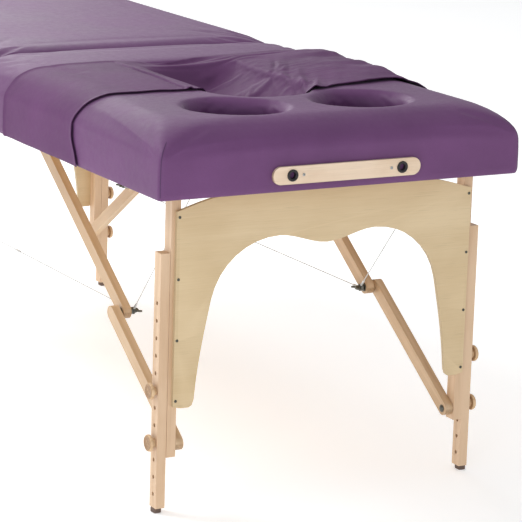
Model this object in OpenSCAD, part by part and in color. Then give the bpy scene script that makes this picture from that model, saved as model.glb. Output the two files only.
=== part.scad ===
// Portable folding massage table for pregnancy massage.
// Two padded halves fold at a hinge in the middle. The head half has a belly
// recess, two chest recesses, a cloth sling over the belly recess and two
// sockets for a face cradle. Each end stands on a folding leg frame with
// braces, cables and sliding extensions clamped by turning knobs.
// X runs across the table, Y along it with the head end at -Y, Z up.
// The origin is on the floor under the middle of the table. Millimetres.
// The foot half is the head half mirrored in Y, and each right part is at +X.

/* [Table top] */
// Width of the padded top
top_w = 787; // [780:1:800]
// Length of the padded top
top_l = 1854; // [1844:1:1870]
// Height of the top with the legs at their middle setting
top_h = 760; // [750:1:775]
// Thickness of the foam cushions with their cover
foam_t = 72.5; // [68:0.5:76]
// Radius of the cushions' upper edges
edge_r = 60; // [40:1:62]
/* [Recesses] */
// Width of the belly recess
belly_w = 230; // [220:2:240]
// Length of the belly recess
belly_l = 447; // [440:1:450]
// Width of each chest recess
chest_w = 205; // [180:1:208]
// Length of each chest recess
chest_l = 190; // [160:1:192]
// Depth of each chest recess
chest_depth = 57; // [40:1:60]
/* [Sling] */
// Length of the sling along the table
sling_l = 340; // [280:5:345]
// How far the sling sags over the belly recess
sling_sag = 50; // [20:1:50]
/* [Frame] */
// Height of the frame rails
rail_h = 54; // [50:1:58]
// Thickness of the side rails
rail_t = 15; // [12:1:16]
/* [Legs] */
// Width of a leg post
post_w = 19; // [18:0.5:20]
// Depth of a leg post
post_d = 27; // [26:0.5:28]
// Thickness of the leg panel
panel_t = 8; // [6:0.5:9]
// Number of height holes in each extension
hole_count = 12; // [8:1:12]
/* [Braces] */
// Width of a brace
brace_w = 28; // [24:1:28]
// Rise of the folded knee above its pivots
fold_lift = 14; // [13:0.5:15]

/* [Hidden] */
$fn = 48;
gap = 0.1;
wood = "#d2b48c";
light_wood = "#dec8a5";
purple = "#7a5a7e";
metal = "#6f736f";
steel = "#a9acab";
black = "#2b2b2d";
foam_line = 1;
cover_t = 1.5;
sling_t = 2.3;
sling_gap = 0.2;
deck_t = 4;
end_rail_t = 20;

half_w = top_w / 2;
half_l = top_l / 2;
cushion_top = top_h - sling_t - sling_gap;
deck_top = cushion_top - foam_t;
deck_z = deck_top - deck_t;
frame_z = deck_z - rail_h;
frame_x = half_w - cover_t;
frame_y = half_l - cover_t;
mid_y = foam_line + cover_t;

belly_far_y = -208;
belly_floor = deck_top + 3;
belly_near_r = 100;
belly_far_r = 60;
chest_x = 138;
chest_y = -735;
sling_y = -395;
sag_half_w = belly_w / 2 - 25;

// Outlet plate with the face cradle sockets
outlet_l = 322;
outlet_h = 34;
outlet_t = 7;
outlet_z = frame_z + 28.5;
socket_x = 120;
socket_r = 9.5;
socket_bore_r = 6.6;
socket_depth = 49;
socket_y = -half_l - outlet_t - 2.5;
outlet_screw_x = 96;

// Leg frame, in the plane Y-Z: pivots of the leg and of the two braces
hinge_y = -(half_l - 85);
hinge_z = frame_z + 23;
panel_y = hinge_y - 17;
post_x = 313.5;
post_y = panel_y + post_d;
post_z = 110;
post_top = hinge_z + 12;
post_outer_x = post_x + post_w;
groove_w = 9;
groove_depth = 6;
groove_top = 350;
panel_w = 650;
panel_z = 207;
panel_top = frame_z - 16;
panel_screw_x = 319.7;
panel_screw_z = [577, 458, 340, 222];
ext_x = post_outer_x + 0.5;
ext_w = 19;
ext_y = panel_y + 1;
ext_d = 26;
ext_z = 10;
ext_top = 508;
hole_y = panel_y + 14;
hole_z = 37;
hole_pitch = 34;
hole_r = 4;
knob_z = [241, 139];
knob_r = 16.5;
pad_h = 10;

pin_r = 4;
hinge_bore_r = 4.05;
bolt_r = 3.5;
bolt_bore_r = 3.55;
frame_pin_r = 3;
frame_bore_r = 3.05;

// Braces: the knee lies on the straight line between the two pivots, at the
// place where both braces also lie flat when the leg frame is folded by 90
upper_x = 272;
lower_x = 295.5;
brace_t = 17;
frame_pivot = [-80, hinge_z - 2];
leg_pivot = [hinge_y - 2, 132.5];
folded_pivot = [hinge_y + hinge_z - leg_pivot[1], hinge_z + leg_pivot[0] - hinge_y];
span_open = norm(frame_pivot - leg_pivot);
span_folded = norm(frame_pivot - folded_pivot);
upper_l = (span_open + span_folded) / 2;
lower_l = (span_open - span_folded) / 2;
brace_angle = atan2(frame_pivot[1] - leg_pivot[1], frame_pivot[0] - leg_pivot[0]);
knee = leg_pivot + lower_l * [cos(brace_angle), sin(brace_angle)];

cable_x = 262;
cable_r = 1.25;
eye_r = 8;
lug = [hinge_y, hinge_z];
short_l = norm(lug - knee);
short_angle = atan2(lug[1] - knee[1], lug[0] - knee[0]);

mid_hinge_x = [-250, 0, 250];
mid_axis_z = frame_z - 5;
knuckle_r = 5;

// ---- Helpers ----

// A box from its lowest to its highest corner
module span(low, high) {
    translate(low) cube(high - low);
}

// A rod along X, and one along -Y from y_front back to y_back
module rod_x(x0, x1, p, r) {
    translate([x0, p[0], p[1]]) rotate([0, 90, 0]) cylinder(h = x1 - x0, r = r);
}

module rod_y(y_front, y_back, x, z, r) {
    translate([x, y_back, z]) rotate([90, 0, 0]) cylinder(h = y_back - y_front, r = r);
}

module left() {
    mirror([1, 0, 0]) children();
}

module foot() {
    mirror([0, 1, 0]) children();
}

module both_sides() {
    children();
    left() children();
}

function arc(centre, r, a0, a1, steps) =
    [for (i = [0:steps]) let (a = a0 + (a1 - a0) * i / steps) centre + r * [cos(a), sin(a)]];

function bezier(p0, p1, p2, p3, steps) =
    [for (i = [0:steps]) let (t = i / steps, s = 1 - t)
        s * s * s * p0 + 3 * s * s * t * p1 + 3 * s * t * t * p2 + t * t * t * p3];

function reversed(list) = [for (i = [len(list) - 1:-1:0]) list[i]];

function flipped(list) = [for (p = reversed(list)) [-p[0], p[1]]];

// ---- Cushions, sling and frame ----

// Outline of a cushion cut across or along, with its two upper edges rounded
function cushion_outline(a, b, ra, rb) = concat(
    [[a, deck_top]],
    arc([a + ra, cushion_top - ra], ra, 180, 90, 8),
    arc([b - rb, cushion_top - rb], rb, 90, 0, 8),
    [[b, deck_top]]
);

module cushion_block() {
    mid_r = 25;
    intersection() {
        translate([0, -foam_line, 0])
            rotate([90, 0, 0])
            linear_extrude(half_l - foam_line)
            polygon(cushion_outline(-half_w, half_w, edge_r, edge_r));
        translate([-half_w, 0, 0])
            rotate([90, 0, 90])
            linear_extrude(top_w)
            polygon(cushion_outline(-half_l, -foam_line, edge_r, mid_r));
    }
}

module well(x, y, outline, floor_z) {
    translate([x, y, floor_z]) linear_extrude(top_h - floor_z) polygon(outline);
}

function oval(w, l) = [for (a = [0:9:351]) [w / 2 * cos(a), l / 2 * sin(a)]];

function belly_outline(w, l, near_r, far_r) =
    let (far = w / 2 - far_r, near = w / 2 - near_r)
    concat(
        arc([far, -far_r], far_r, 0, 90, 8),
        arc([-far, -far_r], far_r, 90, 180, 8),
        arc([-near, near_r - l], near_r, 180, 270, 8),
        arc([near, near_r - l], near_r, 270, 360, 8)
    );

module head_cushion() {
    color(purple) difference() {
        cushion_block();
        well(0, belly_far_y, belly_outline(belly_w, belly_l, belly_near_r, belly_far_r), belly_floor);
        for (side = [-1, 1])
            well(side * chest_x, chest_y, oval(chest_w, chest_l), cushion_top - chest_depth);
    }
}

module foot_cushion() {
    color(purple) foot() cushion_block();
}

// Left half of the sling's section: up the side, over the edge and down the sag
function sling_half(off) = concat(
    [[-half_w - off, frame_z]],
    arc([edge_r - half_w, cushion_top - edge_r], edge_r + off, 180, 90, 8),
    [for (i = [0:10]) let (x = -sag_half_w * (1 - i / 10))
        [x, cushion_top + off - sling_sag * (1 + cos(180 * x / sag_half_w)) / 2]]
);

function sling_line(off) = let (half = sling_half(off))
    concat(half, [for (i = [len(half) - 2:-1:0]) [-half[i][0], half[i][1]]]);

module belly_sling() {
    color(purple)
        translate([0, sling_y + sling_l / 2, 0])
        rotate([90, 0, 0])
        linear_extrude(sling_l)
        polygon(concat(sling_line(sling_gap + sling_t), reversed(sling_line(sling_gap))));
}

// A board of the frame, with its outer corners rounded under the cover
module board(x0, x1, low, high, right_only) {
    r = 11;
    translate([0, 0, low])
        linear_extrude(high - low)
        polygon(concat(
            arc([x1 - r, -mid_y - r], r, 0, 90, 6),
            right_only ? [[x0, -mid_y], [x0, -frame_y]] :
                concat(arc([x0 + r, -mid_y - r], r, 90, 180, 6), arc([x0 + r, r - frame_y], r, 180, 270, 6)),
            arc([x1 - r, r - frame_y], r, 270, 360, 6)
        ));
}

module rail_right() {
    color(wood) board(frame_x - rail_t, frame_x, frame_z, deck_z, true);
}

module end_rail() {
    span([rail_t - frame_x, -frame_y, frame_z], [frame_x - rail_t, end_rail_t - frame_y, deck_z]);
}

module head_end_rail() {
    color(wood) difference() {
        end_rail();
        for (side = [-1, 1]) {
            rod_y(-half_l, -half_l + 40, side * socket_x, outlet_z, socket_r + gap);
            rod_y(-half_l, -half_l + 18, side * outlet_screw_x, outlet_z, 2);
        }
    }
}

module mid_rail() {
    color(wood)
        span([rail_t - frame_x, -mid_y - end_rail_t, frame_z], [frame_x - rail_t, -mid_y, deck_z]);
}

module deck() {
    color(light_wood) board(-frame_x, frame_x, deck_z, deck_top, false);
}

module outlet_plate() {
    color(light_wood) difference() {
        translate([0, -half_l, outlet_z])
            rotate([90, 0, 0])
            linear_extrude(outlet_t)
            union() {
                square([outlet_l - outlet_h, outlet_h], center = true);
                for (side = [-1, 1])
                    translate([side * (outlet_l - outlet_h) / 2, 0]) circle(d = outlet_h);
            }
        for (side = [-1, 1]) {
            rod_y(-half_l - 20, -half_l + 1, side * socket_x, outlet_z, socket_r + gap);
            rod_y(-half_l - 20, -half_l + 1, side * outlet_screw_x, outlet_z, 2);
        }
    }
}

module outlet_sockets() {
    color(black) both_sides() difference() {
        union() {
            rod_y(socket_y, socket_y + 51.5, socket_x, outlet_z, socket_r);
            rod_y(socket_y, socket_y + 2.5, socket_x, outlet_z, 11.5);
        }
        rod_y(socket_y - 1, socket_y + socket_depth, socket_x, outlet_z, socket_bore_r);
    }
}

module outlet_screws() {
    color(steel) both_sides() {
        rod_y(-half_l - outlet_t - 1.5, -half_l - outlet_t, outlet_screw_x, outlet_z, 3.2);
        rod_y(-half_l - outlet_t - 1, -half_l + 17, outlet_screw_x, outlet_z, 1.9);
    }
}

// One ear of a bracket: a plate that hangs from the deck, round about its pin
module ear(x0, x1, p, r) {
    span([x0, p[0] - r, p[1]], [x1, p[0] + r, deck_z - 1]);
    rod_x(x0, x1, p, r);
}

module leg_bracket() {
    hinge = [hinge_y, hinge_z];
    span([255, hinge_y - 23, deck_z - 3], [340, hinge_y + 22, deck_z]);
    ear(post_x - 4, post_x - 1, hinge, 10);
    ear(post_outer_x + 0.5, post_outer_x + 3.5, hinge, 10);
    rod_x(post_x - 5.5, post_outer_x + 5, hinge, pin_r);
    span([cable_x - 1.5, hinge_y - 8, hinge_z + 2], [cable_x + 1.5, hinge_y + 8, deck_z - 1]);
}

module brace_bracket() {
    span([upper_x - 3.5, frame_pivot[0] - 20, deck_z - 2],
        [upper_x + brace_t + 3.5, frame_pivot[0] + 20, deck_z]);
    ear(upper_x - 3.5, upper_x - 0.5, frame_pivot, 10);
    ear(upper_x + brace_t + 0.5, upper_x + brace_t + 3.5, frame_pivot, 10);
    rod_x(upper_x - 4.5, upper_x + brace_t + 4.5, frame_pivot, frame_pin_r);
}

module brackets() {
    color(metal) both_sides() {
        leg_bracket();
        brace_bracket();
    }
}

// ---- Leg frame ----

module post_right() {
    color(light_wood) difference() {
        span([post_x, panel_y, post_z], [post_outer_x, post_y, post_top]);
        rod_x(post_x - 1, post_outer_x + 1, [hinge_y, hinge_z], hinge_bore_r);
        rod_x(post_x - 1, post_outer_x + 1, leg_pivot, bolt_r + gap);
        span([post_outer_x - groove_depth, hole_y - groove_w / 2, post_z - 1],
            [post_outer_x + 1, hole_y + groove_w / 2, groove_top]);
        for (z = panel_screw_z) rod_y(panel_y - 1, panel_y + 14, panel_screw_x, z, 2);
    }
}

// Right half of the panel's outline, from the top of the arch round to the
// middle of the top edge
panel_half = concat(
    bezier([0, 505], [35, 505], [70, 526], [105, 526], 6),
    bezier([105, 526], [175, 526], [235, 480], [250, 412], 8),
    bezier([250, 412], [263, 350], [276, 290], [281, 222], 6),
    [[285, 211], [291, panel_z], [309, panel_z], [panel_w / 2, panel_z + 4]],
    bezier([panel_w / 2, panel_top - 23], [290, panel_top - 13], [255, panel_top], [225, panel_top], 8)
);

module leg_panel() {
    color(light_wood) difference() {
        translate([0, panel_y, 0])
            rotate([90, 0, 0])
            linear_extrude(panel_t)
            polygon(concat(panel_half, flipped(panel_half)));
        for (z = panel_screw_z, side = [-1, 1])
            rod_y(panel_y - panel_t - 1, panel_y + 1, side * panel_screw_x, z, 2);
    }
}

module panel_screws() {
    face = panel_y - panel_t;
    color(steel) both_sides() for (z = panel_screw_z) {
        rod_y(face - 1, face, panel_screw_x, z, 4);
        rod_y(face - 0.5, panel_y + 13, panel_screw_x, z, 1.9);
    }
}

module brace_bolts() {
    color(metal) both_sides() {
        rod_x(lower_x - 4.5, lower_x - 0.5, leg_pivot, 6);
        rod_x(lower_x - 1.5, post_x + 8.5, leg_pivot, bolt_r);
    }
}

module extension_right() {
    color(light_wood) difference() {
        span([ext_x, ext_y, ext_z], [ext_x + ext_w, ext_y + ext_d, ext_top]);
        for (i = [0:hole_count - 1])
            rod_x(ext_x - 1, ext_x + ext_w + 1, [hole_y, hole_z + hole_pitch * i], hole_r);
    }
}

module pad_right() {
    color(black) span([ext_x + 4, ext_y + 3, 0], [ext_x + ext_w + 1, ext_y + ext_d - 3, pad_h]);
}

module knob_right(z) {
    hub_x = ext_x + ext_w + 0.3;
    color(wood) union() {
        rod_x(hub_x, hub_x + 7, [hole_y, z], 9);
        rod_x(hub_x + 7, hub_x + 15, [hole_y, z], knob_r);
        rod_x(post_outer_x - 4.5, hub_x + 1, [hole_y, z], hole_r - 0.05);
    }
}

// ---- Braces and cables ----

// A brace in the plane Y-Z: a bar with round ends from one pivot to the next
module brace_bar(x, p, length) {
    translate([x, p[0], p[1]])
        rotate([brace_angle, 0, 0])
        rotate([90, 0, 90])
        linear_extrude(brace_t)
        union() {
            translate([0, -brace_w / 2]) square([length, brace_w]);
            circle(d = brace_w);
            translate([length, 0]) circle(d = brace_w);
        }
}

module upper_brace_right() {
    color(wood) difference() {
        brace_bar(upper_x, knee, upper_l);
        rod_x(upper_x - 1, upper_x + brace_t + 1, frame_pivot, frame_bore_r);
        rod_x(upper_x - 1, upper_x + brace_t + 1, knee, pin_r + gap);
    }
}

module lower_brace_right() {
    color(wood) difference() {
        union() {
            brace_bar(lower_x, leg_pivot, lower_l);
            rod_x(lower_x - 2, lower_x + 1, knee, 9);
        }
        rod_x(lower_x - 1, lower_x + brace_t + 1, leg_pivot, bolt_bore_r);
    }
}

module knee_bolts() {
    color(metal) both_sides() {
        rod_x(cable_x - 4, upper_x - 3.5, knee, eye_r);
        rod_x(upper_x - 3.5, upper_x - 0.3, knee, 9);
        rod_x(upper_x - 1, upper_x + brace_t + 1, knee, pin_r);
        rod_x(upper_x + brace_t + 0.3, upper_x + brace_t + 3.5, knee, 9);
    }
}

module short_cables() {
    color(metal) both_sides()
        translate([cable_x, knee[0], knee[1]])
        rotate([short_angle, 0, 0])
        translate([0, eye_r + 0.5, 0])
        rotate([-90, 0, 0])
        cylinder(h = short_l - eye_r - 4.5, r = cable_r);
}

module long_cables() {
    color(metal) both_sides() rod_y(knee[0] + eye_r + 0.5, -foam_line, cable_x, knee[1], cable_r);
}

// ---- Middle hinge ----

module hinge_leaf(x, own) {
    span([x - 30, -20, frame_z - 2.5], [x + 30, -5.5, frame_z]);
    for (k = own) {
        span([x + k[0], -5.6, frame_z - 2.5], [x + k[1], -3, frame_z]);
    }
}

module mid_hinge_head() {
    axis = [0, mid_axis_z];
    color(metal) for (x = mid_hinge_x) {
        hinge_leaf(x, [[-30, -10], [10, 30]]);
        rod_x(x - 30, x - 10, axis, knuckle_r);
        rod_x(x + 10, x + 30, axis, knuckle_r);
        rod_x(x - 11, x + 11, axis, 2.5);
    }
}

module mid_hinge_foot() {
    axis = [0, mid_axis_z];
    color(metal) for (x = mid_hinge_x) difference() {
        union() {
            foot() hinge_leaf(x, [[-9.5, 9.5]]);
            rod_x(x - 9.5, x + 9.5, axis, knuckle_r);
        }
        rod_x(x - 9.6, x + 9.6, axis, 2.55);
    }
}

// ---- Nodes ----

left() rail_right();  // head_rail_left
rail_right();  // head_rail_right
head_end_rail();
mid_rail();  // head_mid_rail
deck();  // head_deck
head_cushion();
belly_sling();
outlet_plate();
outlet_sockets();
outlet_screws();
brackets();  // head_brackets
left() post_right();  // head_post_left
post_right();  // head_post_right
leg_panel();  // head_leg_panel
panel_screws();  // head_panel_screws
brace_bolts();  // head_brace_bolts
left() extension_right();  // head_extension_left
extension_right();  // head_extension_right
left() pad_right();  // head_pad_left
pad_right();  // head_pad_right
left() knob_right(knob_z[0]);  // head_knob_left_upper
left() knob_right(knob_z[1]);  // head_knob_left_lower
knob_right(knob_z[0]);  // head_knob_right_upper
knob_right(knob_z[1]);  // head_knob_right_lower
left() upper_brace_right();  // head_upper_brace_left
upper_brace_right();  // head_upper_brace_right
knee_bolts();  // head_knee_bolts
short_cables();  // head_short_cables
left() lower_brace_right();  // head_lower_brace_left
lower_brace_right();  // head_lower_brace_right
long_cables();  // head_long_cables
foot() left() rail_right();  // foot_rail_left
foot() rail_right();  // foot_rail_right
color(wood) foot() end_rail();  // foot_end_rail
foot() mid_rail();  // foot_mid_rail
foot() deck();  // foot_deck
foot_cushion();
foot() brackets();  // foot_brackets
foot() left() post_right();  // foot_post_left
foot() post_right();  // foot_post_right
foot() leg_panel();  // foot_leg_panel
foot() panel_screws();  // foot_panel_screws
foot() brace_bolts();  // foot_brace_bolts
foot() left() extension_right();  // foot_extension_left
foot() extension_right();  // foot_extension_right
foot() left() pad_right();  // foot_pad_left
foot() pad_right();  // foot_pad_right
foot() left() knob_right(knob_z[0]);  // foot_knob_left_upper
foot() left() knob_right(knob_z[1]);  // foot_knob_left_lower
foot() knob_right(knob_z[0]);  // foot_knob_right_upper
foot() knob_right(knob_z[1]);  // foot_knob_right_lower
foot() left() upper_brace_right();  // foot_upper_brace_left
foot() upper_brace_right();  // foot_upper_brace_right
foot() knee_bolts();  // foot_knee_bolts
foot() short_cables();  // foot_short_cables
foot() left() lower_brace_right();  // foot_lower_brace_left
foot() lower_brace_right();  // foot_lower_brace_right
foot() long_cables();  // foot_long_cables
mid_hinge_head();
mid_hinge_foot();
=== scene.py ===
"""Looks of a folding massage table with a belly sling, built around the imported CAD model."""

import math

import bmesh
import bpy
import numpy as np
from mathutils import Matrix, Vector, noise
from mathutils.bvhtree import BVHTree


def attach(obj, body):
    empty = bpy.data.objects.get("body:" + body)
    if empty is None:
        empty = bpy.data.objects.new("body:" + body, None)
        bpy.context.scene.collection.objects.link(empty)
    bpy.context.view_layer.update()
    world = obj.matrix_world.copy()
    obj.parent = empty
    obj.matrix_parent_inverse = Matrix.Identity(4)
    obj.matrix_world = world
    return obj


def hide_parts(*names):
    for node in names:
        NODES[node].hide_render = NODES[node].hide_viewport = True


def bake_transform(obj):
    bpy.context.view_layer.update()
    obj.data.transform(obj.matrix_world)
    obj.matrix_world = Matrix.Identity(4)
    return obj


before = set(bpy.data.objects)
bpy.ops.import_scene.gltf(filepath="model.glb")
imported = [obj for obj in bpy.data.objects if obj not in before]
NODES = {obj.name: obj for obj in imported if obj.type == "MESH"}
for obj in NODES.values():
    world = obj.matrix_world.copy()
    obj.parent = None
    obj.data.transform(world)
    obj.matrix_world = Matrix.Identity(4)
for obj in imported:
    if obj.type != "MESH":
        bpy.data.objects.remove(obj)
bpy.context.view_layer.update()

# Sizes in millimetres, in the part's own frame
MM = 0.001
HALF_W, HALF_L = 393.5, 927.0
TOP = 757.5
HINGE = Vector((0, -842, 650))
FRAME_PIVOT = Vector((0, -80, 648))
LEG_PIVOT = Vector((0, -844, 132.5))
KNEE = Vector((0, -563.34, 321.87))
CABLE_X, CABLE_R = 262.0, 1.25
UPPER_X, LOWER_X, BRACE_T = 272.0, 295.5, 17.0
POST_X, EXT_OUTER = 313.5, 352.0
HOLE_Y = -845.0
PANEL_SCREW_X, PANEL_FACE_Y, PANEL_SCREW_Z = 319.7, -867, (577, 458, 340, 222)
OUTLET_Z, SOCKET_X, OUTLET_SCREW_X = 655.5, 120, 96
ENDS = (("head", 1), ("foot", -1))
SIDES = (("left", -1), ("right", 1))


# ---- Materials ----


def srgb(code):
    values = [int(code[i : i + 2], 16) / 255 for i in (0, 2, 4)]
    return (*(v / 12.92 if v <= 0.04045 else ((v + 0.055) / 1.055) ** 2.4 for v in values), 1.0)


class Material:
    """A node material that starts with one Principled shader."""

    def __init__(self, name, **values):
        self.data = bpy.data.materials.new(name)
        self.data.use_nodes = True
        self.tree = self.data.node_tree
        self.shader = self.tree.nodes["Principled BSDF"]
        for key, value in values.items():
            self.shader.inputs[key.replace("_", " ")].default_value = value

    def add(self, kind, inputs=None, **settings):
        made = self.tree.nodes.new("ShaderNode" + kind)
        for key, value in settings.items():
            setattr(made, key, value)
        for key, value in (inputs or {}).items():
            if isinstance(value, bpy.types.NodeSocket):
                self.tree.links.new(value, made.inputs[key])
            else:
                made.inputs[key].default_value = value
        return made

    def link(self, socket, name):
        self.tree.links.new(socket, self.shader.inputs[name])

    def place(self, scale, rotation=(0, 0, 0)):
        """Object coordinates, turned and then scaled."""
        turned = self.add("Mapping", {"Vector": self.add("TexCoord").outputs["Object"], "Rotation": rotation})
        return self.add("Mapping", {"Vector": turned.outputs[0], "Scale": scale}).outputs[0]

    def noise(self, vector, scale=1.0, detail=3.0, roughness=0.55, distortion=0.0):
        inputs = {"Vector": vector, "Scale": scale, "Detail": detail, "Roughness": roughness}
        return self.add("TexNoise", {**inputs, "Distortion": distortion}).outputs["Fac"]

    def ramp(self, value, stops):
        made = self.add("ValToRGB", {"Fac": value})
        elements = made.color_ramp.elements
        while len(elements) < len(stops):
            elements.new(0.5)
        for element, (position, color) in zip(elements, stops):
            element.position = position
            element.color = color
        return made.outputs["Color"]

    def grey(self, value, low, high, dark, light):
        return self.add(
            "MapRange", {"Value": value, "From Min": low, "From Max": high, "To Min": dark, "To Max": light}
        ).outputs[0]

    def math(self, operation, a, b=0.0):
        made = self.add("Math", {0: a, 1: b}, operation=operation)
        return made.outputs[0]

    def mix(self, factor, a, b, blend="MIX"):
        made = self.add("Mix", data_type="RGBA", blend_type=blend)
        for key, value in ((0, factor), (6, a), (7, b)):
            if isinstance(value, bpy.types.NodeSocket):
                self.tree.links.new(value, made.inputs[key])
            else:
                made.inputs[key].default_value = value
        return made.outputs[2]

    def bump(self, height, strength, distance, below=None):
        inputs = {"Height": height, "Strength": strength, "Distance": distance}
        if below is not None:
            inputs["Normal"] = below
        return self.add("Bump", inputs).outputs[0]


def vinyl(name, base, deep, roughness, shine, hollow_shade):
    """Soft vinyl with a fine pebble grain and faint mottling; its last argument sets how much painted shade,
    from ambient occlusion, darkens its hollows.
    """
    m = Material(name, Specular_IOR_Level=shine, Sheen_Weight=0.04, Sheen_Roughness=0.4)
    even = m.place((1, 1, 1))
    cloud = m.noise(even, 5.0, 4.0, 0.6)
    fine = m.noise(even, 90.0, 3.0)
    pebbles = {"Vector": even, "Scale": 620.0}
    cells = m.add("TexVoronoi", pebbles, feature="SMOOTH_F1").outputs["Distance"]
    pores = m.add("TexVoronoi", pebbles, feature="DISTANCE_TO_EDGE").outputs["Distance"]
    tone = m.ramp(cloud, [(0.3, deep), (0.7, base)])
    grain = m.grey(pores, 0.0, 0.12, 0.86, 1.0)
    # Painted shade: ambient occlusion darkens the base colour in recesses, creases and along the sling's
    # edges.
    open_air = m.add("AmbientOcclusion", {"Distance": 0.12}, samples=8).outputs["AO"]
    grain = m.math("MULTIPLY", grain, m.grey(open_air, 0.45, 0.97, 1 - hollow_shade, 1.0))
    shade = m.add("CombineColor", {0: grain, 1: grain, 2: grain}).outputs[0]
    m.link(m.mix(1.0, tone, shade, "MULTIPLY"), "Base Color")
    m.link(m.grey(m.math("ADD", fine, cloud), 0.7, 1.3, roughness - 0.06, roughness + 0.07), "Roughness")
    rough = m.bump(cells, 0.35, 0.00035)
    m.link(m.bump(m.noise(even, 38.0, 2.0), 0.22, 0.0022, rough), "Normal")
    return m.data


def wood(name, light, dark, turn=(0, 0, 0), figure=9.0, edge_layers=False):
    """Lacquered wood with its grain along X before it is turned, end grain on cut ends, and worn edges."""
    m = Material(name, Coat_Weight=0.18, Coat_Roughness=0.3, Specular_IOR_Level=0.45)
    fibres = m.noise(m.place((7, 420, 420), turn), 1.0, 4.0, 0.65)
    broad = m.noise(m.place((1.1, figure, figure), turn), 1.0, 5.0, 0.6, 0.9)
    wave = {"Scale": figure * 1.7, "Distortion": 5.0, "Detail": 3.0, "Detail Scale": 0.6}
    rings = m.add(
        "TexWave", {"Vector": m.place((0.7, 1, 1), turn), **wave}, wave_type="BANDS", bands_direction="Y"
    ).outputs["Fac"]
    figure_value = m.math("ADD", m.math("MULTIPLY", broad, 0.62), m.math("MULTIPLY", rings, 0.16))
    value = m.math("ADD", figure_value, m.math("MULTIPLY", fibres, 0.24))
    color = m.ramp(value, [(0.32, dark), (0.62, light)])
    pores = m.grey(m.noise(m.place((16, 900, 900), turn), 1.0, 2.0), 0.62, 0.72, 1.0, 0.86)
    color = m.mix(1.0, color, m.add("CombineColor", {0: pores, 1: pores, 2: pores}).outputs[0], "MULTIPLY")
    normal = m.add("TexCoord").outputs["Normal"]
    along = m.add("VectorRotate", {"Vector": normal, "Rotation": turn}, rotation_type="EULER_XYZ").outputs[0]
    parts = m.add("SeparateXYZ", {0: along})
    cut = m.grey(m.math("ABSOLUTE", parts.outputs[0]), 0.72, 0.9, 0.0, 1.0)
    cells = m.noise(m.place((500, 500, 500)), 1.0, 2.0)
    end_tone = m.ramp(cells, [(0.35, tuple(0.52 * v for v in dark[:3]) + (1.0,)), (0.7, dark)])
    if edge_layers:
        stripes = m.add(
            "TexWave", {"Vector": m.place((1, 1, 1)), "Scale": 120.0, "Distortion": 0.6}, bands_direction="Y"
        )
        glue = tuple(0.5 * v for v in dark[:3]) + (1.0,)
        layer = m.ramp(stripes.outputs["Fac"], [(0.35, glue), (0.6, light)])
        side = m.grey(m.math("ABSOLUTE", m.add("SeparateXYZ", {0: normal}).outputs[1]), 0.35, 0.6, 1.0, 0.0)
        color = m.mix(side, color, layer)
    else:
        color = m.mix(cut, color, end_tone)
    worn = m.grey(m.add("NewGeometry").outputs["Pointiness"], 0.51, 0.58, 0.0, 0.35)
    color = m.mix(worn, color, tuple(min(1, 1.12 * v) for v in light[:3]) + (1.0,))
    m.link(color, "Base Color")
    m.link(m.grey(fibres, 0.3, 0.7, 0.38, 0.52), "Roughness")
    m.link(m.bump(fibres, 0.25, 0.00025), "Normal")
    return m.data


def metal(name, color, roughness, brushed=(1, 1, 1), paint=0.0):
    """Steel or painted steel, with fine scratches, smudges and rubbed edges."""
    m = Material(name, Metallic=1.0 - paint, Specular_IOR_Level=0.5)
    scratches = m.noise(m.place(tuple(250 * v for v in brushed)), 1.0, 3.0)
    smudge = m.noise(m.place((1, 1, 1)), 60.0, 3.0)
    dark = tuple(0.7 * v for v in color[:3]) + (1.0,)
    tone = m.ramp(smudge, [(0.3, dark), (0.65, color)])
    worn = m.grey(m.add("NewGeometry").outputs["Pointiness"], 0.52, 0.6, 0.0, 0.6)
    m.link(m.mix(worn, tone, tuple(min(1, 1.6 * v + 0.03) for v in color[:3]) + (1.0,)), "Base Color")
    marks = m.math("ADD", scratches, smudge)
    m.link(m.grey(marks, 0.7, 1.3, roughness - 0.08, roughness + 0.12), "Roughness")
    m.link(m.bump(scratches, 0.3, 0.0001), "Normal")
    return m.data


def moulded(name, color, roughness, grain=900.0):
    """Moulded plastic or rubber with a fine spark-eroded grain and dusty patches."""
    m = Material(name, Specular_IOR_Level=0.4)
    cloud = m.noise(m.place((1, 1, 1)), 45.0, 4.0)
    grit = m.noise(m.place((1, 1, 1)), grain, 2.0)
    dusty = tuple(1.7 * v + 0.006 for v in color[:3]) + (1.0,)
    m.link(m.ramp(cloud, [(0.3, color), (0.8, dusty)]), "Base Color")
    m.link(m.grey(cloud, 0.3, 0.7, roughness - 0.06, roughness + 0.08), "Roughness")
    m.link(m.bump(grit, 0.3, 0.0002), "Normal")
    return m.data


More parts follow.
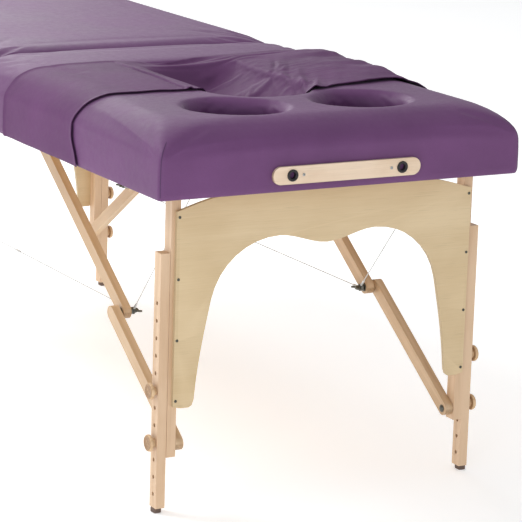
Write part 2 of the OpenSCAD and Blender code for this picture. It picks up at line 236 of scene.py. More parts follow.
QUARTER = math.pi / 2
BRACE_TILT = math.atan2(FRAME_PIVOT.z - LEG_PIVOT.z, FRAME_PIVOT.y - LEG_PIVOT.y)
MATERIALS = {
    # The last number of each vinyl sets how much painted shade darkens its hollows.
    "cover": vinyl("cover_vinyl", srgb("734876"), srgb("663E69"), 0.54, 0.29, 0.2),
    # Painted shade: the sling's vinyl is a darker copy of the cover's vinyl, standing in for the shade over
    # the sling.
    "sling": vinyl("sling_vinyl", srgb("6D456F"), srgb("5F3A61"), 0.6, 0.12, 0.5),
    "thread": moulded("seam_thread", srgb("4A2D50"), 0.7),
    "panel": wood("panel_ply", srgb("DAC39C"), srgb("C8AD82"), figure=6.0, edge_layers=True),
    "board": wood("board_upright", srgb("D9BA99"), srgb("C09A74"), (0, QUARTER, 0)),
    "brace_head": wood("brace_head_wood", srgb("D2B592"), srgb("BA966E"), (-BRACE_TILT, 0, -QUARTER)),
    "brace_foot": wood("brace_foot_wood", srgb("D2B592"), srgb("BA966E"), (BRACE_TILT, 0, -QUARTER)),
    "rail_x": wood("rail_across", srgb("DDBF97"), srgb("BE9A6E")),
    "rail_y": wood("rail_along", srgb("DDBF97"), srgb("BE9A6E"), (0, 0, -QUARTER)),
    "knob": wood("knob_wood", srgb("D9B88F"), srgb("B58C62"), (0, 0, 0), 40.0),
    "bracket": metal("bracket_paint", srgb("4B4F4C"), 0.42, paint=0.6),
    "steel": metal("bright_steel", srgb("B9BAB8"), 0.28, (0.2, 1, 1)),
    "dark_steel": metal("dark_steel", srgb("66665F"), 0.4),
    "cable": metal("cable_steel", srgb("D6D8D6"), 0.4, (1, 0.1, 1), 0.45),
    "plastic": moulded("socket_plastic", srgb("1D1A1C"), 0.42),
    "rubber": moulded("foot_rubber", srgb("65544B"), 0.72, 700.0),
}


# ---- Shapes: lists of points in millimetres, and faces ----


def join(*shapes):
    points, faces = [], []
    for more_points, more_faces in shapes:
        start = len(points)
        points += more_points
        faces += [[i + start for i in face] for face in more_faces]
    return points, faces


def moved(shape, matrix):
    return [matrix @ Vector(p) for p in shape[0]], shape[1]


def rings_shape(rings, caps=True):
    """Joins rings of points, all with the same count, into a skin."""
    count = len(rings[0])
    points = [Vector(p) for ring in rings for p in ring]
    faces = [
        [k * count + i, k * count + (i + 1) % count, (k + 1) * count + (i + 1) % count, (k + 1) * count + i]
        for k in range(len(rings) - 1)
        for i in range(count)
    ]
    if caps:
        faces.append(list(range(count))[::-1])
        faces.append([(len(rings) - 1) * count + i for i in range(count)])
    return points, faces


def circle(r, z, steps):
    angles = [2 * math.pi * i / steps for i in range(steps)]
    return [(r * math.cos(a), r * math.sin(a), z) for a in angles]


def lathe(profile, steps=32):
    """Turns a profile of (radius, height) round Z."""
    return rings_shape([circle(r, z, steps) for r, z in profile])


def hexagon(across, low, high):
    """A hexagonal nut or head with its corners turned down."""
    r = across / math.sqrt(3)
    profile = [(0.9 * r, low), (r, low + 0.12 * r), (r, high - 0.14 * r), (0.86 * r, high)]
    return lathe(profile, 6)


def sweep(path, section, steps=12):
    """A skin round a path; section(i, angle) gives the radius."""
    path = [Vector(p) for p in path]
    rings = []
    last = len(path) - 1
    tangents = [(path[min(i + 1, last)] - path[max(i - 1, 0)]).normalized() for i in range(last + 1)]
    side = tangents[0].orthogonal().normalized()
    for i, (point, tangent) in enumerate(zip(path, tangents)):
        side = (side - tangent * side.dot(tangent)).normalized()
        up = tangent.cross(side)
        ring = []
        for k in range(steps):
            a = 2 * math.pi * k / steps
            ring.append(point + (side * math.cos(a) + up * math.sin(a)) * section(i, a))
        rings.append(ring)
    return rings_shape(rings)


def rounded_outline(x0, x1, y0, y1, r, steps=8):
    points = []
    left, right, front, back = x0 + r, x1 - r, y0 + r, y1 - r
    for cx, cy, start in ((right, back, 0), (left, back, 90), (left, front, 180), (right, front, 270)):
        for i in range(steps + 1):
            a = math.radians(start + 90 * i / steps)
            points.append((cx + r * math.cos(a), cy + r * math.sin(a)))
    return points


def line(a, b, step):
    count = max(2, round((b - a).length / step))
    return [a.lerp(b, i / count) for i in range(count + 1)]


TO_X = Matrix.Rotation(QUARTER, 4, "Y")
TO_FRONT = Matrix.Rotation(QUARTER, 4, "X")
FLIP_X = Matrix.Diagonal((-1, 1, 1, 1))
FLIP_Y = Matrix.Diagonal((1, -1, 1, 1))


def at(x, y, z, turn=None):
    place = Matrix.Translation((x, y, z))
    return place @ turn if turn else place


def sides(shape):
    """The shape and its mirror image across the table."""
    return join(shape, moved(shape, FLIP_X))


def for_end(shape, s):
    return shape if s > 0 else moved(shape, FLIP_Y)


def make_object(name, shape, sharp=38):
    mesh = bpy.data.meshes.new(name)
    mesh.from_pydata([Vector(p) * MM for p in shape[0]], [], shape[1])
    bm = bmesh.new()
    bm.from_mesh(mesh)
    bmesh.ops.recalc_face_normals(bm, faces=bm.faces)
    bm.to_mesh(mesh)
    bm.free()
    mesh.shade_smooth()
    mesh.set_sharp_from_angle(angle=math.radians(sharp))
    made = bpy.data.objects.new(name, mesh)
    bpy.context.scene.collection.objects.link(made)
    return made


def piece(name, shape, material, body, replaces=(), sharp=38):
    made = make_object(name, shape, sharp)
    made.data.materials.append(MATERIALS[material])
    if body:
        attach(made, body)
    if replaces:
        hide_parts(*replaces)
    return made


# ---- Camera, floor and light ----


def make_camera():
    place = Vector((-2.53476, -5.15077, 1.61889))
    azimuth, elevation, roll = (math.radians(v) for v in (-29.16, 13.08, 1.81))
    back = Vector((
        math.sin(azimuth) * math.cos(elevation),
        -math.cos(azimuth) * math.cos(elevation),
        math.sin(elevation),
    ))
    right = Vector((math.cos(azimuth), math.sin(azimuth), 0))
    up = back.cross(right)
    x = right * math.cos(roll) + up * math.sin(roll)
    y = up * math.cos(roll) - right * math.sin(roll)
    camera = bpy.data.objects.new("camera", bpy.data.cameras.new("camera"))
    camera.data.sensor_width = 36
    camera.data.lens = 183.22
    camera.data.clip_end = 100
    camera.matrix_world = Matrix.Translation(place) @ Matrix((x, y, back)).transposed().to_4x4()
    bpy.context.scene.collection.objects.link(camera)
    bpy.context.scene.camera = camera


def area_light(name, place, target, size, power, color=(1, 1, 1)):
    light = bpy.data.lights.new(name, "AREA")
    light.shape = "DISK"
    light.size = size
    light.energy = power
    light.color = color
    made = bpy.data.objects.new(name, light)
    made.location = place
    made.rotation_euler = (Vector(target) - Vector(place)).to_track_quat("-Z", "Y").to_euler()
    bpy.context.scene.collection.objects.link(made)


def make_studio():
    scene = bpy.context.scene
    scene.view_settings.view_transform = "Standard"
    world = bpy.data.worlds.new("studio")
    world.use_nodes = True
    world.node_tree.nodes["Background"].inputs["Color"].default_value = (0.97, 0.985, 1.0, 1)
    world.node_tree.nodes["Background"].inputs["Strength"].default_value = 0.5
    scene.world = world
    area_light("key", (-2.4, 1.8, 3.6), (0, -0.3, 0.6), 2.2, 100)
    area_light("back", (1.2, 6.5, 3.2), (0, 0.2, 0.7), 3.4, 50)
    area_light("foot_top", (0.4, 2.3, 2.1), (0.1, 0.5, 0.75), 1.2, 12)
    area_light("left_fill", (-2.0, -3.1, 1.3), (-0.3, -0.8, 0.6), 1.6, 18, (0.86, 0.9, 1.0))
    cove = ((0.5, -0.5), (14000, -0.5), (20000, 60), (24000, 700), (26000, 2500), (27000, 7000))
    floor = make_object("floor", rings_shape([circle(r, z, 96) for r, z in cove], caps=False))
    m = Material("floor_paper", Roughness=0.9, Specular_IOR_Level=0.1)
    paper = [(0.3, (0.93, 0.93, 0.93, 1)), (0.7, (0.95, 0.95, 0.95, 1))]
    m.link(m.ramp(m.noise(m.place((1, 1, 1)), 2.0), paper), "Base Color")
    m.shader.inputs["Emission Color"].default_value = (1, 1, 1, 1)
    m.shader.inputs["Emission Strength"].default_value = 0.38
    floor.data.materials.append(m.data)


# ---- Padded covers ----

SIDE_ROUND = (84.0, 60.0)
MID_ROUND = {1: (16.0, 14.0), -1: (62.0, 44.0)}
BOTTOM = 622.8
TUCK = 24.0
START_TOP = 756.6
VOXEL = 7.0
PUFF_CAP = 4.0
SKIRT_TOP, RECESS_FLOOR = 690.0, 712.0


def inset(depth, size):
    a, b = size
    t = max(0.0, 1 - depth / b)
    return a * (1 - math.sqrt(1 - t * t))


def cushion_block(s):
    """A cover at the head end as a solid: an elliptical shoulder on the outer edges, another at the fold."""
    shoulder = [SIDE_ROUND[1] * (1 - math.cos(math.radians(a))) for a in range(0, 91, 6)]
    full = START_TOP - BOTTOM
    rings = []
    for depth in shoulder + [82, 96, 110, full - 3, full - 0.9, full]:
        side, mid = inset(depth, SIDE_ROUND), inset(depth, MID_ROUND[s])
        rim = 3 - math.sqrt(max(0.0, 9 - max(0.0, depth - full + 3) ** 2))
        corner = 4 + 66 * max(0.0, 1 - depth / SIDE_ROUND[1]) ** 1.4
        proud = 1.4 * min(1.0, max(0.0, (depth - 60) / 25)) - 0.5
        half_w, end_y = HALF_W - side - rim + proud, side + rim - HALF_L - proud
        outline = rounded_outline(-half_w, half_w, end_y, -1 - mid - rim, corner)
        rings.append([(x, y, START_TOP - depth) for x, y in outline])
    return rings_shape(rings[::-1])


def recess(outline, floor, rim, foot):
    """A cutter with a rounded rim above and a rounded foot; outline(grow) gives its points."""
    depth = START_TOP - floor
    levels = [foot * (1 - math.cos(math.radians(a))) for a in (0, 30, 60, 90)]
    rings = []
    for height in levels:
        t = 1 - height / foot
        rings.append((-foot * 0.8 * (1 - math.sqrt(1 - t * t)), floor + height))
    for a in range(0, 91, 10):
        from_top = rim * (1 - math.sin(math.radians(a)))
        t = 1 - from_top / rim
        rings.append((rim * (1 - math.sqrt(max(0.0, 1 - t * t))), floor + depth - from_top))
    rings.append((rim, START_TOP + 15))
    return rings_shape([[(x, y, z) for x, y in outline(grow)] for grow, z in rings])


def chest_outline(side):
    """A round recess that is flattened where it comes close to the belly recess."""
    inward = math.atan2(175, -138)

    def outline(grow):
        points = []
        for i in range(48):
            a = 2 * math.pi * i / 48
            away = (a - inward + math.pi) % (2 * math.pi) - math.pi
            r = 1 - 0.16 * math.exp(-((away / 0.62) ** 2))
            x = 138 + (97 + grow) * r * math.cos(a)
            points.append((side * x, -735 + (92 + grow) * r * math.sin(a)))
        return points

    return outline


def belly_outline(grow):
    """Square at the far end and round at the near end."""
    near = rounded_outline(-112 - grow, 112 + grow, -662 - grow, -212 + grow, 100 + grow, 10)
    far = rounded_outline(-112 - grow, 112 + grow, -662 - grow, -212 + grow, 58 + grow, 10)
    return far[:22] + near[22:]


def applied(made):
    """Gives an object the mesh that its modifiers make, and drops them."""
    graph = bpy.context.evaluated_depsgraph_get()
    mesh = bpy.data.meshes.new_from_object(made.evaluated_get(graph))
    made.modifiers.clear()
    made.data = mesh
    return made


def coordinates(made):
    co = np.zeros(len(made.data.vertices) * 3, np.float32)
    made.data.vertices.foreach_get("co", co)
    return co.reshape(-1, 3).astype(float)


def set_coordinates(made, co):
    made.data.vertices.foreach_set("co", co.astype(np.float32).ravel())
    made.data.update()


def puffed(made, pinned, cap, pressure=4.0, frames=20):
    """Cloth under pressure: the skin swells as over foam, hardly inward, and by no more than the cap."""
    before = coordinates(made)
    group = made.vertex_groups.new(name="pinned")
    group.add([int(i) for i in np.nonzero(pinned(before / MM))[0]], 1.0, "REPLACE")
    cloth = made.modifiers.new("cloth", "CLOTH")
    settings = cloth.settings
    settings.quality = 4
    settings.mass = 0.25
    settings.tension_stiffness = settings.compression_stiffness = 18
    settings.shear_stiffness = 12
    settings.bending_stiffness = 1.5
    settings.shrink_min = 0.012
    settings.use_pressure = True
    settings.uniform_pressure_force = pressure
    settings.effector_weights.gravity = 0
    settings.vertex_group_mass = group.name
    cloth.collision_settings.use_collision = False
    cloth.point_cache.frame_start = 1
    cloth.point_cache.frame_end = frames
    for number in range(1, frames + 1):
        bpy.context.scene.frame_set(number)
    applied(made)
    normals = np.zeros(len(before) * 3, np.float32)
    made.data.vertices.foreach_get("normal", normals)
    normals = normals.reshape(-1, 3).astype(float)
    move = coordinates(made) - before
    inward = np.minimum(0, (move * normals).sum(1) + 0.3 * MM)
    move -= normals * inward[:, None]
    fade = np.clip((before[:, 2:] / MM - SKIRT_TOP) / 40, 0, 1)
    move *= fade * fade * (3 - 2 * fade)
    size = np.linalg.norm(move, axis=1, keepdims=True)
    set_coordinates(made, before + move * np.tanh(size / cap) * cap / np.maximum(size, 1e-9))
    made.vertex_groups.clear()
    bpy.context.scene.frame_set(1)
    return made


def subdivided(made, levels=1):
    made.modifiers.new("subdivision", "SUBSURF").levels = levels
    return applied(made)


def make_cover(name, s, cutters):
    """A cover for the head end: the block without its recesses, remeshed, open underneath and swollen."""
    made = make_object(name, cushion_block(s))
    for number, cutter in enumerate(cutters):
        tool = make_object(f"{name}_tool_{number}", cutter)
        cut = made.modifiers.new("cut", "BOOLEAN")
        cut.operation = "DIFFERENCE"
        cut.solver = "EXACT"
        cut.object = tool
        applied(made)
        bpy.data.objects.remove(tool)
    remesh = made.modifiers.new("remesh", "REMESH")
    remesh.mode = "VOXEL"
    remesh.voxel_size = VOXEL * MM
    applied(made)
    bm = bmesh.new()
    bm.from_mesh(made.data)
    under = [
        f
        for f in bm.faces
        if (c := f.calc_center_median() / MM).z < BOTTOM + 1.5
        and f.normal.z < -0.7
        and abs(c.x) < HALF_W - TUCK
        and -HALF_L + TUCK < c.y < -1 - TUCK
    ]
    bmesh.ops.delete(bm, geom=under, context="FACES")
    bm.to_mesh(made.data)
    bm.free()
    puffed(made, held_down, PUFF_CAP * MM)
    subdivided(made)
    return made


def held_down(p):
    """Which points stay put while a cover swells: the skirt on the rails and the floors of the recesses."""
    inside = (np.abs(p[:, 0]) < HALF_W - 40) & (p[:, 1] > -HALF_L + 40) & (p[:, 1] < -40)
    return (p[:, 2] < SKIRT_TOP) | (p[:, 2] < RECESS_FLOOR) & inside


def shape_cover(made, seams):
    """Sinks the seams into a cover: each seam is (points, width, depth)."""
    co = coordinates(made) / MM
    normals = np.zeros(len(co) * 3, np.float32)
    made.data.vertices.foreach_get("normal", normals)
    normals = normals.reshape(-1, 3).astype(float)
    push = np.zeros(len(co))
    for points, width, depth in seams:
        best = np.full(len(co), 1e9)
        for a, b in zip(points, points[1:]):
            a, b = np.array(a, float), np.array(b, float)
            t = np.clip(((co - a) @ (b - a)) / ((b - a) @ (b - a)), 0, 1)
            best = np.minimum(best, np.linalg.norm(co - a - t[:, None] * (b - a), axis=1))
        push -= depth * np.exp(-((best / width) ** 2))
    set_coordinates(made, (co + normals * push[:, None]) * MM)


def finish_cover(made, body, node, s):
    """Turns the foot cover round, gives the vinyl its thickness and puts the cover on its body."""
    if s < 0:
        made.data.transform(FLIP_Y)
        made.data.flip_normals()
    thick = made.modifiers.new("thickness", "SOLIDIFY")
    thick.thickness = 1.3 * MM
    thick.offset = -1
    made.data.shade_smooth()
    made.data.materials.clear()
    made.data.materials.append(MATERIALS["cover"])
    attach(made, body)
    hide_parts(node)
    return made


def corner_seam(sx, y_end, inward):
    """The sewn crease up one corner, from the bottom edge to where the shoulder starts to turn."""
    points = []
    for depth in (128, 110, 90, 72, 58, 46, 36, 28):
        side = inset(depth, SIDE_ROUND)
        points.append((sx * (HALF_W - side - 2), y_end + inward * (side + 2), START_TOP - depth))
    return points


def tree_of(made):
    bm = bmesh.new()
    bm.from_mesh(made.data)
    tree = BVHTree.FromBMesh(bm)
    bm.free()
    return tree


def sewn_corners(cover, end, s):
    """A sewn line in each outer corner's crease; the cover is still at the head end."""
    tree = tree_of(cover)
    shapes = []
    for sx in (-1, 1):
        towards = Vector((-sx, 1, 0)).normalized()
        corner = [Vector(p) - towards * 30 for p in corner_seam(sx, -HALF_L, 1)]
        path = []
        for a, b in zip(corner, corner[1:]):
            for p in line(a, b, 3.0):
                hit, normal, _, _ = tree.ray_cast(p * MM, towards)
                if hit is not None and (not path or (hit / MM - path[-1]).length > 1.5):
                    path.append(hit / MM + normal * 0.1)
        last = len(path) - 1
        shapes.append(sweep(path, lambda i, _, last=last: 0.3 if i in (0, last) else 0.8, 8))
    piece(f"{end}_corner_seams", for_end(join(*shapes), s), "thread", f"{end}_frame")


# ---- The sling ----

DROP_LEFT, DROP_RIGHT = -108.0, 110.0
SAG = 50.0
NEAR_HEM = ((-110, -558), (104, -630), (187, -598), (308, -578), (352, -606), (394, -612))
FAR_HEM = ((-394, -222), (-110, -214), (80, -196), (394, -204))


def between(table, x):
    """The value at x on eased steps through a table of points."""
    for (x0, y0), (x1, y1) in zip(table, table[1:]):
        if x <= x1:
            return y0 + (y1 - y0) * smooth(x, x0, x1)
    return table[-1][1]


def smooth(value, low, high):
    t = min(1.0, max(0.0, (value - low) / (high - low)))
    return t * t * (3 - 2 * t)


def sling_profile(step):
    """Across the table: up the left side, over the top and down the right side, in even steps."""
    a, b = SIDE_ROUND
    fine = [(-HALF_W, BOTTOM + 1), (-HALF_W, TOP - b)]
    for i in range(1, 24):
        angle = math.radians(90 * i / 24)
        fine.append((-HALF_W + a * (1 - math.cos(angle)), TOP - b * (1 - math.sin(angle))))
    fine += [(-HALF_W + a, TOP)]
    fine += [(-x, z) for x, z in fine[::-1]]
    points = [Vector(p) for p in fine]
    lengths = [0.0]
    for p, q in zip(points, points[1:]):
        lengths.append(lengths[-1] + (q - p).length)
    count = round(lengths[-1] / step)
    made, k = [], 0
    for i in range(count + 1):
        want = lengths[-1] * i / count
        while k < len(points) - 2 and lengths[k + 1] < want:
            k += 1
        share = (want - lengths[k]) / max(1e-9, lengths[k + 1] - lengths[k])
        made.append(points[k].lerp(points[k + 1], share))
    return made, lengths[-1]


def near_edge(x, z):
    """Where the sling's near edge runs: straight on the left, pulled forward and bunched on the right."""
    low = TOP - z
    if x < 0:
        return between(NEAR_HEM, x) + 6 * smooth(low, 2, 60) - 24 * smooth(low, 70, 128)
    return between(NEAR_HEM, x)


def eased(distance, width, power):
    return 1 - (1 - min(1.0, max(0.0, distance / width))) ** power


def sag_depth(x, y):
    """How deep the cloth hangs: a crisp fold on the left, soft walls on the right and at the far end."""
    if not DROP_LEFT < x < DROP_RIGHT:
        return 0.0
    far = between(FAR_HEM, x) - 22 - y
    left = eased(x - DROP_LEFT, 52, 2.4)
    right = smooth(DROP_RIGHT - x, 0, 72)
    return SAG * left * right * smooth(far, 0, 92)


def folds(x, y):
    """Gathers of the spare cloth, from the fold in the dip across the right rim to the right shoulder."""
    warp = 15 * noise.noise(Vector((x * 0.008, y * 0.007, 3.1)))
    across = 0.9 * x - 0.43 * y - 0.0006 * (y + 420) * (x - 60) + warp
    phase = 2 * math.pi * across / 38.0
    ridge = math.cos(phase) + 0.35 * math.cos(2.3 * phase + 1.1)
    uneven = 0.35 + 1.5 * abs(noise.noise(Vector((x * 0.013, y * 0.005, 7.7))))
    right_of_crease = smooth(x - 0.72 * (y + 505), 22, 50)
    rim = 1 - 0.84 * smooth(x, 120, 195)
    outer = 1 - smooth(x, 352, 392)
    return ridge * uneven * right_of_crease * rim * outer * smooth(-y, 215, 262)


def crease(x, y):
    """The strong diagonal fold at the bottom of the dip."""
    along = (y + 610) / 215
    if not -0.2 < along < 1.1:
        return 0.0
    centre = -62 + 130 * along
    away = (x - centre) / 8
    fade = smooth(along, -0.2, 0.1) * (1 - smooth(along, 0.75, 1.1))
    return fade * (6.5 * math.exp(-((away - 1.3) ** 2)) - 4 * math.exp(-(away**2)))


def settled(made, cover, frames=26):
    """Lets the sling's loose cloth sink into the recess; its sides are held where it wraps the cushion."""
    co = coordinates(made) / MM
    held = (np.abs(co[:, 0]) > 330) | (co[:, 0] < DROP_LEFT - 40)
    group = made.vertex_groups.new(name="held")
    group.add([int(i) for i in np.nonzero(held)[0]], 1.0, "REPLACE")
    blocker = cover.modifiers.new("collision", "COLLISION")
    cover.collision.thickness_outer = 1.5 * MM
    cover.collision.cloth_friction = 20
    cloth = made.modifiers.new("cloth", "CLOTH")
    settings = cloth.settings
    settings.quality = 8
    settings.mass = 0.35
    settings.air_damping = 2
    settings.tension_stiffness = settings.compression_stiffness = 40
    settings.shear_stiffness = 15
    settings.bending_stiffness = 1.2
    settings.vertex_group_mass = group.name
    cloth.collision_settings.use_collision = True
    cloth.collision_settings.distance_min = 1.5 * MM
    cloth.collision_settings.collision_quality = 3
    cloth.point_cache.frame_start = 1
    cloth.point_cache.frame_end = frames
    for number in range(1, frames + 1):
        bpy.context.scene.frame_set(number)
    applied(made)
    cover.modifiers.remove(blocker)
    made.vertex_groups.clear()
    bpy.context.scene.frame_set(1)


def make_sling(cover):
    tree = tree_of(cover)
    profile, width = sling_profile(6.0)
    rows = 60
    points = []
    for i, base in enumerate(profile):
        near, far = near_edge(base.x, base.y), between(FAR_HEM, base.x)
        for j in range(rows + 1):
            v = j / rows
            y = far + (near - far) * v
            start = Vector((base.x, y, base.y))
            dip = sag_depth(base.x, y)
            edge = min(v, 1 - v)
            hem = 2.3 * (1 - smooth(edge, 0.0, 0.03))
            slack = 1.3 * abs(noise.noise(Vector((base.x * 0.006, y * 0.011, base.y * 0.006))))
            lift = 0.7 + hem + slack
            if abs(base.x) < DROP_RIGHT + 20:
                z = TOP + 1.6
                point = Vector((base.x, y, z + lift))
                blend = smooth(abs(base.x), DROP_RIGHT, DROP_RIGHT + 20)
            else:
                point, blend = start, 1.0
            if blend > 0:
                hit, normal, _, _ = tree.find_nearest(start * MM)
                snapped = hit / MM + normal * lift
                point = point.lerp(snapped, blend)
            point.z += -dip + 4.5 * folds(base.x, y) + crease(base.x, y)
            points.append(point)
    count = rows + 1
    faces = [
        [i * count + j, i * count + j + 1, (i + 1) * count + j + 1, (i + 1) * count + j]
        for i in range(len(profile) - 1)
        for j in range(rows)
    ]
    made = make_object("belly_sling_cloth", (points, faces))
    bm = bmesh.new()
    bm.from_mesh(made.data)
    if sum(f.normal.z for f in bm.faces) < 0:
        bmesh.ops.reverse_faces(bm, faces=bm.faces)
    bm.to_mesh(made.data)
    bm.free()
    settled(made, cover)
    co = coordinates(made)
    for k in range(len(co)):
        x, y = points[k].x, points[k].y
        near = near_edge(x, points[k].z)
        hem = math.exp(-(((x - 245) / 72) ** 2)) * smooth(-y, -near - 50, -near)
        from_hem = min(y - near, between(FAR_HEM, x) - y)
        slack = 13 * smooth(x, 150, 290) * (1 - smooth(TOP - points[k].z, 40, 115))
        slack *= 0.28 + 0.72 * smooth(from_hem, 0, 60)
        slack *= 0.85 + 0.6 * noise.noise(Vector((x * 0.01, y * 0.02, 5.3)))
        turn = QUARTER * smooth(x, 305, HALF_W)
        co[k, 0] += slack * math.sin(turn) * MM
        co[k, 2] += (slack * math.cos(turn) + hem + 2.4 * folds(x, y) + 0.8 * crease(x, y)) * MM
    set_coordinates(made, co)
    subdivided(made)
    thick = made.modifiers.new("thickness", "SOLIDIFY")
    thick.thickness = 2.0 * MM
    thick.offset = 1
    made.data.shade_smooth()
    made.data.materials.append(MATERIALS["sling"])
    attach(made, "head_frame")
    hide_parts("belly_sling")
    return made


# ---- Hard details ----


def screw_head(r, h):
    """A pan head with a cross recess."""
    steps = 24
    rings = []
    for share, level in ((1, 0), (1, 0.35), (0.9, 0.75), (0.68, 0.95), (0.52, 1), (0.3, 1), (0.12, 1)):
        ring = []
        for i in range(steps):
            arm = i % 6 == 0
            low = 0.9 if share < 0.6 and (arm or share < 0.2) else 0.0
            a = 2 * math.pi * i / steps
            ring.append((share * r * math.cos(a), share * r * math.sin(a), h * (level - low)))
        rings.append(ring)
    return rings_shape(rings)


def rod(r, a, b, steps=24):
    return lathe([(r, a), (r, b)], steps)


def ring_plate(outer, inner, low, high, steps=32):
    edge = 0.18 * (high - low)
    profile = (
        (inner, low), (outer - edge, low), (outer, low + edge), (outer, high - edge), (outer - edge, high),
        (inner, high), (inner, low),
    )
    return rings_shape([circle(r, z, steps) for r, z in profile], caps=False)


def knob_shapes(sx, s, z):
    """A turned wooden hand wheel on a steel bolt, for the hole at height z."""
    wheel = lathe([
        (0.01, 0), (8.2, 0), (9, 0.7), (9, 5.2), (9.8, 6.3), (12.4, 6.9), (15, 7.4), (16.2, 8.6),
        (16.5, 10.4), (16.2, 12.6), (15.2, 14.1), (13.4, 14.9), (11.6, 14.8), (9.8, 14.1), (7.6, 13.8),
        (5.4, 13.9), (0.01, 13.9),
    ], 48)
    shaft = rod(3.95, -24, 1)
    place = at(EXT_OUTER + 0.3, HOLE_Y, z, TO_X)
    flips = [m for m, use in ((FLIP_X, sx < 0), (FLIP_Y, s < 0)) if use]
    out = []
    for shape in (wheel, shaft):
        shape = moved(shape, place)
        for flip in flips:
            shape = moved(shape, flip)
        out.append(shape)
    return out


def foot_shape():
    """A ribbed rubber boot under the outer part of an extension."""
    rings = []
    levels = (
        (0, -1.2), (0.8, 0), (2.6, 0), (3.1, -0.5), (3.6, 0), (5.6, 0), (6.1, -0.5), (6.6, 0), (9.2, -0.4),
        (10, -1.4),
    )
    for z, grow in levels:
        outline = rounded_outline(337 - grow, 353 + grow, -855 - grow, -835 + grow, 4, 6)
        rings.append([(x, y, z) for x, y in outline])
    return rings_shape(rings)


def cable_shape(a, b, trim_a=0.0, trim_b=0.0):
    """A twisted steel rope with seven strands."""
    d = (b - a).normalized()
    path = line(a + d * trim_a, b - d * trim_b, 4.0)

    def section(i, angle):
        return CABLE_R * (0.66 + 0.14 * abs(math.cos(3.5 * (angle - 0.55 * i))))

    return sweep(path, section, 21)


def sleeve(a, b, start, length, r=2.4):
    """A crimped sleeve round a cable."""
    d = (b - a).normalized()
    path = line(a + d * start, a + d * (start + length), 1.0)
    last = len(path) - 1
    return sweep(path, lambda i, _: r * (0.72 if i in (0, last) else 0.9 if i % 4 == 2 else 1.0), 20)


def wing_nut():
    """A wing nut whose wings lean along +Z from its seat at height 0."""
    hub = lathe([(0.01, 0), (5.4, 0), (5.4, 1.2), (4.3, 6.5), (3.7, 8), (0.01, 8)], 24)
    wings = []
    for side in (-1, 1):
        arc = ((2, 3.5), (5, 4.2), (8, 6.2), (10.2, 9.2), (11, 12), (10.8, 13.2))
        path = [Vector((0, side * y, z)) for y, z in arc]
        wings.append(sweep(path, lambda i, _: (2.4, 2.3, 2.3, 2.4, 2.0, 0.9)[i], 12))
    return join(hub, *wings)


def hardware(end, s):
    knee = Vector((CABLE_X, KNEE.y, KNEE.z))
    lug = Vector((CABLE_X, HINGE.y, HINGE.z))
    middle = Vector((CABLE_X, -1, KNEE.z))
    straight = knee + Vector((0, 1, 0))

    def whole(shape):
        return for_end(sides(shape), s)

    upper = f"{end}_upper_braces"
    turn = at(0, KNEE.y, KNEE.z, TO_X)
    piece(f"{end}_knee_hardware", whole(join(
        moved(hexagon(13, CABLE_X + 1.9, UPPER_X - 3.6), turn),
        moved(rod(3.6, CABLE_X - 4, UPPER_X - 3), turn),
        moved(ring_plate(9, 4.0, UPPER_X - 2.2, UPPER_X - 0.3), turn),
        moved(rod(3.95, UPPER_X - 1, UPPER_X + BRACE_T + 1), turn),
        moved(ring_plate(9, 3.9, UPPER_X + BRACE_T + 0.3, UPPER_X + BRACE_T + 1.6), turn),
        moved(hexagon(11, UPPER_X + BRACE_T + 1.6, UPPER_X + BRACE_T + 3.5), turn),
        moved(ring_plate(7.6, 3.7, CABLE_X - 1.4, CABLE_X + 1.4), turn),
        moved(wing_nut(), turn @ Matrix.Translation((0, 0, CABLE_X - 1.6)) @ Matrix.Diagonal((1, 1, -1, 1))),
        moved(rod(2.9, CABLE_X - 11, CABLE_X - 1, 16), turn),
    )), "dark_steel", upper, [f"{end}_knee_bolts"])
    short = piece(f"{end}_short_ropes", whole(join(
        cable_shape(knee, lug, 8.5, 4.5), sleeve(knee, lug, 7, 16), sleeve(lug, knee, 6, 14)
    )), "cable", None, [f"{end}_short_cables"])
    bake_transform(short)
    piece(f"{end}_long_ropes", whole(join(
        cable_shape(knee, middle, 8.5), sleeve(knee, straight, 7.5, 18), sleeve(middle, knee, 0, 9)
    )), "cable", f"{end}_cables", [f"{end}_long_cables"])
    pivot = at(0, LEG_PIVOT.y, LEG_PIVOT.z, TO_X)
    dome = ((0.01, -4.4), (3.6, -4.1), (5.6, -2.9), (6.2, -1.8), (6.2, -1.3))
    piece(f"{end}_pivot_bolts", whole(join(
        moved(lathe([(r, LOWER_X + x) for r, x in dome]), pivot),
        moved(ring_plate(7.6, 3.5, LOWER_X - 1.4, LOWER_X - 0.4), pivot),
        moved(rod(3.5, LOWER_X - 1.5, POST_X + 8.5), pivot),
    )), "dark_steel", f"{end}_legs", [f"{end}_brace_bolts"])
    screw = join(screw_head(2.9, 1.4), rod(1.9, -20, 0.2, 12))
    heads = [moved(screw, at(PANEL_SCREW_X, PANEL_FACE_Y, z, TO_FRONT)) for z in PANEL_SCREW_Z]
    piece(f"{end}_panel_screw_set", whole(join(*heads)), "dark_steel", f"{end}_legs",
          [f"{end}_panel_screws"])
    for side, sx in SIDES:
        foot = foot_shape() if sx > 0 else moved(foot_shape(), FLIP_X)
        piece(f"{end}_rubber_foot_{side}", for_end(foot, s), "rubber", f"{end}_{side}_extension",
              [f"{end}_pad_{side}"])
        for level, z in (("upper", 241), ("lower", 139)):
            body = f"{end}_{side}_{level}_knob"
            wheel, bolt = knob_shapes(sx, s, z)
            piece(f"{end}_{side}_{level}_hand_wheel", wheel, "knob", body,
                  [f"{end}_knob_{side}_{level}"])
            piece(f"{end}_{side}_{level}_knob_bolt", bolt, "steel", body)


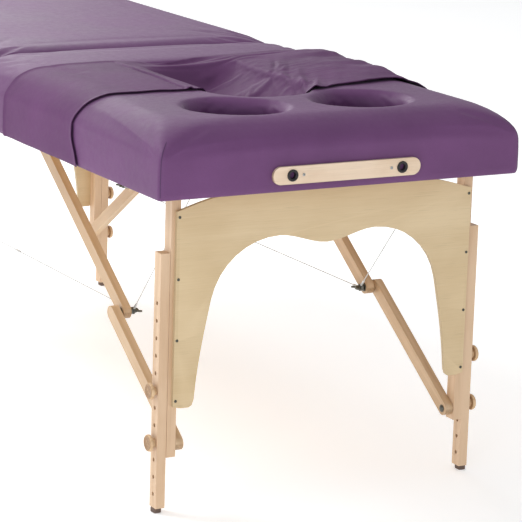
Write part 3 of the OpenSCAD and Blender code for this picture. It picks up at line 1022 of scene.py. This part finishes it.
def outlet_details():
    socket = []
    for x in (-SOCKET_X, SOCKET_X):
        place = at(x, -HALF_L, OUTLET_Z, TO_FRONT)
        tube = [(6.6, -39), (9.5, -39), (9.5, 7), (11.5, 7), (11.5, 8.6), (10.9, 9.4), (9.6, 9.5), (8.2, 9.0)]
        tube += [(7.1, 8.6), (6.6, 8.0), (6.6, -39)]
        socket.append(moved(rings_shape([circle(r, z, 40) for r, z in tube], caps=False), place))
        socket.append(moved(rod(9.3, -42, -39.2, 40), place))
    piece("cradle_sockets", join(*socket), "plastic", "head_frame", ["outlet_sockets"])
    screw = join(screw_head(3.2, 1.5), rod(1.9, -24, 0.2, 12))
    screws_x = (-OUTLET_SCREW_X, OUTLET_SCREW_X)
    heads = [moved(screw, at(x, -HALF_L - 7, OUTLET_Z, TO_FRONT)) for x in screws_x]
    piece("outlet_screw_set", join(*heads), "steel", "head_frame", ["outlet_screws"])


def dress_nodes():
    """Materials and small rounded edges for the CAD nodes that stay."""
    looks = []
    for end, _ in ENDS:
        looks += [(f"{end}_leg_panel", "panel", 1.6), (f"{end}_brackets", "bracket", 0.5)]
        looks.append((f"{end}_deck", "rail_y", 0.5))
        looks += [(f"{end}_end_rail", "rail_x", 3.0), (f"{end}_mid_rail", "rail_x", 3.0)]
        looks.append((f"mid_hinge_{end}", "dark_steel", 0.4))
        for side, _ in SIDES:
            looks += [(f"{end}_rail_{side}", "rail_y", 3.0), (f"{end}_post_{side}", "board", 1.6)]
            looks += [(f"{end}_extension_{side}", "board", 1.8)]
            looks += [(f"{end}_{kind}_brace_{side}", f"brace_{end}", 1.8) for kind in ("upper", "lower")]
    looks.append(("outlet_plate", "panel_plate", 1.6))
    for name, material, width in looks:
        node = NODES[name]
        node.data.materials.clear()
        node.data.materials.append(MATERIALS[material])
        weld = node.modifiers.new("weld", "WELD")
        weld.merge_threshold = 0.00002
        flat = node.modifiers.new("flat", "DECIMATE")
        flat.decimate_type = "DISSOLVE"
        flat.angle_limit = math.radians(0.5)
        bevel = node.modifiers.new("bevel", "BEVEL")
        bevel.width = width * MM
        bevel.segments = 3
        bevel.limit_method = "ANGLE"
        bevel.angle_limit = math.radians(40)
        node.modifiers.new("normals", "WEIGHTED_NORMAL").weight = 90


# ---- The scene ----

MATERIALS["panel_plate"] = wood("plate_wood", srgb("E8D0B5"), srgb("D2B290"), figure=14.0)
make_camera()
make_studio()
dress_nodes()
outlet_details()
for end, s in ENDS:
    hardware(end, s)

seams = [(corner_seam(sx, -HALF_L, 1), 3.2, 1.5) for sx in (-1, 1)]
head_cover = make_cover("head_cover", 1, [
    recess(belly_outline, 690, 9, 16),
    recess(chest_outline(-1), 700, 20, 22),
    recess(chest_outline(1), 700, 20, 22),
])
shape_cover(head_cover, seams + [([(-150, -640, 750), (-152, -645, 730), (-153, -652, 706)], 3.0, 1.6)])
sewn_corners(head_cover, "head", 1)
make_sling(head_cover)
finish_cover(head_cover, "head_frame", "head_cushion", 1)
foot_cover = make_cover("foot_cover", -1, [])
shape_cover(foot_cover, seams)
sewn_corners(foot_cover, "foot", -1)
finish_cover(foot_cover, "foot_frame", "foot_cushion", -1)
